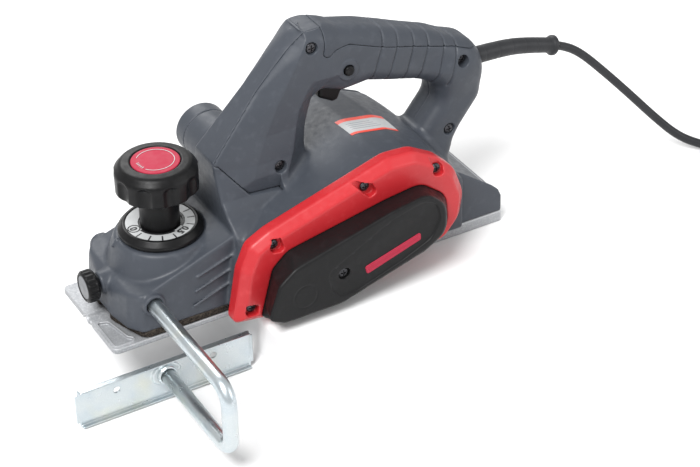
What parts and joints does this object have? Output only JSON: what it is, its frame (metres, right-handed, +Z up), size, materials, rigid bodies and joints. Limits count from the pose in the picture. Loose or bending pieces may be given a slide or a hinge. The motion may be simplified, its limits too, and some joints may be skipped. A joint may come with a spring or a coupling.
{
  "type": "electric hand planer",
  "caption": "Corded electric hand planer with a closed D handle, round depth knob and dial, belt-driven cutter drum, side chip outlet, two-part sole and an adjustable edge fence.",
  "frame": {"origin": "on the sole plane, straight under the cutter drum's axis and midway across the sole", "axes": "-X is the front (infeed) end, +X the rear (outfeed) end, -Y the belt side, +Y the chip outlet side, +Z up from the sole"},
  "size_m": [0.6181, 0.2082, 0.2148],
  "materials": {
    "cast_aluminium": "cast, milled face",
    "foam": "open cell",
    "grey_nylon": "fine spark texture",
    "grip_rubber": "soft matt",
    "black_steel": "black oxide",
    "black_plastic": "satin",
    "bright_steel": "ground",
    "spring_steel": "drawn wire",
    "red_plastic": "satin gloss",
    "cover_plastic": "fine matt",
    "crimson_label": "printed",
    "belt_rubber": "ribbed",
    "pulley_steel": "turned",
    "drum_alloy": "machined",
    "blade_steel": "ground edge",
    "lamination_steel": "varnished",
    "copper_wire": "enamelled",
    "copper_bars": "turned",
    "carbon": "pressed",
    "brass_part": "plain",
    "white_scale": "printed",
    "zinc_steel": "zinc plated",
    "cord_rubber": "matt"
  },
  "bodies": {
    "chassis": {"rear_sole": "cast_aluminium", "dust_seal": "foam", "main_housing": "grey_nylon", "right_side_cover": "grey_nylon", "chip_outlet": "grey_nylon", "handle_left_shell": "grey_nylon", "handle_right_shell": "grey_nylon", "soft_grip": "grip_rubber", "handle_screws": "black_steel", "trigger_pin": "bright_steel", "trigger_spring": "spring_steel", "lock_button_spring": "spring_steel", "switch_module": "black_plastic", "belt_guard_trim": "red_plastic", "trim_screws": "black_steel", "belt_cover": "cover_plastic", "cover_screw": "black_steel", "label_plate": "crimson_label", "drive_belt": "belt_rubber", "drum_bearings": "bright_steel", "motor_bearings": "bright_steel", "motor_stator": "lamination_steel", "field_coils": "copper_wire", "carbon_brushes": "carbon", "brush_holders": "brass_part", "shoe_springs": "spring_steel", "cord_boot": "cord_rubber", "cord": "cord_rubber", "cord_coil": "cord_rubber", "mains_plug": "cord_rubber", "plug_pins": "brass_part"},
    "cutter": {"cutter_drum": "drum_alloy", "drum_shaft": "bright_steel", "planer_blades": "blade_steel", "blade_clamps": "bright_steel", "clamp_bolts": "black_steel", "drum_pulley": "pulley_steel"},
    "rotor": {"motor_shaft": "bright_steel", "armature_core": "lamination_steel", "armature_windings": "copper_wire", "commutator": "copper_bars", "cooling_fan": "black_plastic", "motor_pulley": "pulley_steel"},
    "depth_adjuster": {"depth_knob": "black_plastic", "knob_cap": "crimson_label", "dial_ring": "black_plastic", "scale_ring": "white_scale", "depth_screw": "bright_steel"},
    "shoe": {"front_shoe": "cast_aluminium", "depth_nut": "brass_part"},
    "fence": {"fence_rod": "zinc_steel", "fence_plate": "zinc_steel", "fence_collar": "zinc_steel"},
    "fence_clamp": {"fence_clamp_knob": "black_plastic", "fence_clamp_screw": "black_steel"},
    "trigger_lever": {"trigger": "black_plastic"},
    "lock_on_button": {"lock_button": "black_plastic"}
  },
  "joints": [
    {"name": "cutter_spin", "type": "hinge", "parent": "chassis", "child": "cutter", "pos_m": [0, 0, 0.028], "axis": [0, 1, 0], "continuous": true},
    {"name": "motor_spin", "type": "hinge", "parent": "chassis", "child": "rotor", "pos_m": [0.0785, 0, 0.046], "axis": [0, 1, 0], "continuous": true},
    {"name": "depth_knob_turn", "type": "hinge", "parent": "chassis", "child": "depth_adjuster", "pos_m": [-0.0705, 0, 0.08], "axis": [0, 0, -1], "range_deg": [0, 225]},
    {"name": "front_shoe_lift", "type": "slide", "parent": "chassis", "child": "shoe", "axis": [0, 0, 1], "range_m": [0, 0.001], "deforming": ["dust_seal", "shoe_springs"]},
    {"name": "fence_slide", "type": "slide", "parent": "chassis", "child": "fence", "axis": [0, 1, 0], "range_m": [-0.025, 0.075]},
    {"name": "fence_clamp_turn", "type": "hinge", "parent": "chassis", "child": "fence_clamp", "pos_m": [-0.12, 0, 0.0287], "axis": [-1, 0, 0], "range_deg": [0, 720]},
    {"name": "trigger_pull", "type": "hinge", "parent": "chassis", "child": "trigger_lever", "pos_m": [0.064, 0, 0.131], "axis": [0, 1, 0], "range_deg": [0, 8], "stiffness_Nm_per_rad": 0.6, "springref_deg": -8.59, "deforming": ["trigger_spring"]},
    {"name": "lock_button_press", "type": "slide", "parent": "chassis", "child": "lock_on_button", "axis": [0, 1, 0], "range_m": [0, 0.002], "stiffness_N_per_m": 400, "springref_m": -0.002, "deforming": ["lock_button_spring"]}
  ],
  "couplings": [
    {"joint": "motor_spin", "follows": "cutter_spin", "ratio": 1.2857},
    {"joint": "front_shoe_lift", "follows": "depth_knob_turn", "m_per_rad": 0.00025465}
  ]
}
